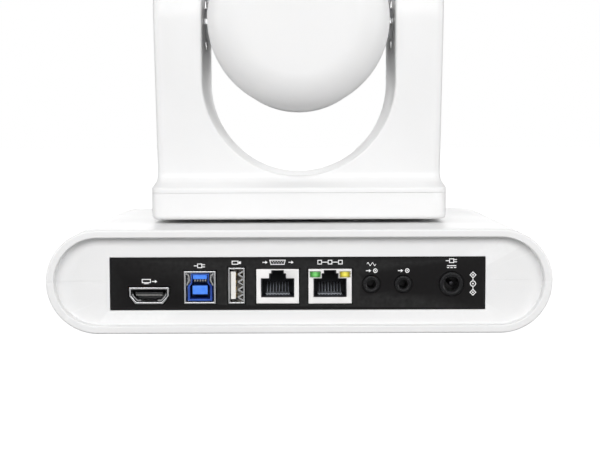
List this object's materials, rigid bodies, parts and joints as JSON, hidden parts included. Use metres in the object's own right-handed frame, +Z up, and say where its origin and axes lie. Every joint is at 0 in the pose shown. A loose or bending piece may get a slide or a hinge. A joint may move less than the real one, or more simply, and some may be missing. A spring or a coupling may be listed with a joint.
{
  "type": "ptz camera",
  "caption": "Pan-tilt-zoom conference camera: wide base with rear sockets, turntable tray, forked yoke and a tilting barrel head.",
  "frame": {"origin": "centre of the overall bounding box's underside, on the table under the pan axis", "axes": "+Z up along the pan axis, +Y towards the rear socket panel, the lens looks along -Y, +X along the tilt axis"},
  "size_m": [0.19, 0.13, 0.157],
  "materials": {
    "white_plastic": "fine moulded grain, satin",
    "black_plastic": "satin",
    "panel_black": "satin printed panel",
    "blue_plastic": "satin",
    "pale_plastic": "satin",
    "gear_plastic": "moulded acetal",
    "rubber": "matt",
    "plated_steel": "nickel plated",
    "sheet_steel": "zinc plated sheet",
    "brass": "turned",
    "circuit_board": "solder mask",
    "dark_glass": "polished",
    "coated_glass": "coated",
    "green_light": "light pipe",
    "amber_light": "light pipe",
    "blue_light": "light pipe"
  },
  "bodies": {
    "base": {"base_top_shell": "white_plastic", "base_bottom_shell": "white_plastic", "front_window": "dark_glass", "status_light": "blue_light", "foot_1": "rubber", "foot_2": "rubber", "foot_3": "rubber", "foot_4": "rubber", "base_screw_1": "sheet_steel", "base_screw_2": "sheet_steel", "base_screw_3": "sheet_steel", "base_screw_4": "sheet_steel", "tripod_insert": "brass", "rear_io_panel": "panel_black", "video_socket_shell": "plated_steel", "video_socket_tongue": "black_plastic", "square_data_socket_shell": "plated_steel", "square_data_socket_insert": "blue_plastic", "flat_data_socket_shell": "plated_steel", "flat_data_socket_tongue": "pale_plastic", "serial_jack_shell": "plated_steel", "serial_jack_contacts": "brass", "network_jack_shell": "plated_steel", "network_jack_contacts": "brass", "network_light_green": "green_light", "network_light_amber": "amber_light", "reference_audio_jack": "black_plastic", "line_in_jack": "black_plastic", "dc_power_jack": "black_plastic", "dc_centre_pin": "plated_steel", "main_board": "circuit_board", "base_chassis_plate": "sheet_steel", "pan_motor": "sheet_steel", "pan_motor_bracket": "sheet_steel", "pan_bearing": "plated_steel"},
    "pan_pinion_body": {"pan_pinion": "gear_plastic"},
    "turntable": {"turntable_tray": "white_plastic", "pan_spindle": "sheet_steel", "pan_ring_gear": "gear_plastic", "yoke_front_cover": "white_plastic", "yoke_rear_shell": "white_plastic", "yoke_chassis": "sheet_steel", "tilt_motor": "sheet_steel", "tilt_bearing_left": "plated_steel", "tilt_bearing_right": "plated_steel"},
    "tilt_pinion_body": {"tilt_pinion": "gear_plastic"},
    "head": {"head_rear_shell": "white_plastic", "head_front_shell": "white_plastic", "lens_bezel": "black_plastic", "lens_window": "dark_glass", "lens_block_housing": "black_plastic", "sensor_board": "circuit_board", "front_lens": "coated_glass", "head_frame": "sheet_steel", "tilt_shaft_left": "plated_steel", "tilt_shaft_right": "plated_steel", "tilt_gear": "gear_plastic"},
    "zoom_group": {"zoom_lens_group": "coated_glass"},
    "focus_group": {"focus_lens_group": "coated_glass"}
  },
  "joints": [
    {"name": "pan", "type": "hinge", "parent": "base", "child": "turntable", "pos_m": [0, 0, 0.0418], "axis": [0, 0, 1], "range_deg": [-170, 170]},
    {"name": "pan_pinion_spin", "type": "hinge", "parent": "base", "child": "pan_pinion_body", "pos_m": [-0.02676, -0.02676, 0.029], "axis": [0, 0, 1], "range_deg": [-681, 681]},
    {"name": "tilt", "type": "hinge", "parent": "turntable", "child": "head", "pos_m": [0, 0, 0.121], "axis": [-1, 0, 0], "range_deg": [-30, 90]},
    {"name": "tilt_pinion_spin", "type": "hinge", "parent": "turntable", "child": "tilt_pinion_body", "pos_m": [0.045, 0, 0.09865], "axis": [-1, 0, 0], "range_deg": [-241, 81]},
    {"name": "zoom_slide", "type": "slide", "parent": "head", "child": "zoom_group", "axis": [0, 1, 0], "range_m": [-0.009, 0.014]},
    {"name": "focus_slide", "type": "slide", "parent": "head", "child": "focus_group", "axis": [0, 1, 0], "range_m": [-0.003, 0.009]}
  ],
  "couplings": [
    {"joint": "pan_pinion_spin", "follows": "pan", "ratio": -4},
    {"joint": "tilt_pinion_spin", "follows": "tilt", "ratio": -2.6667}
  ]
}
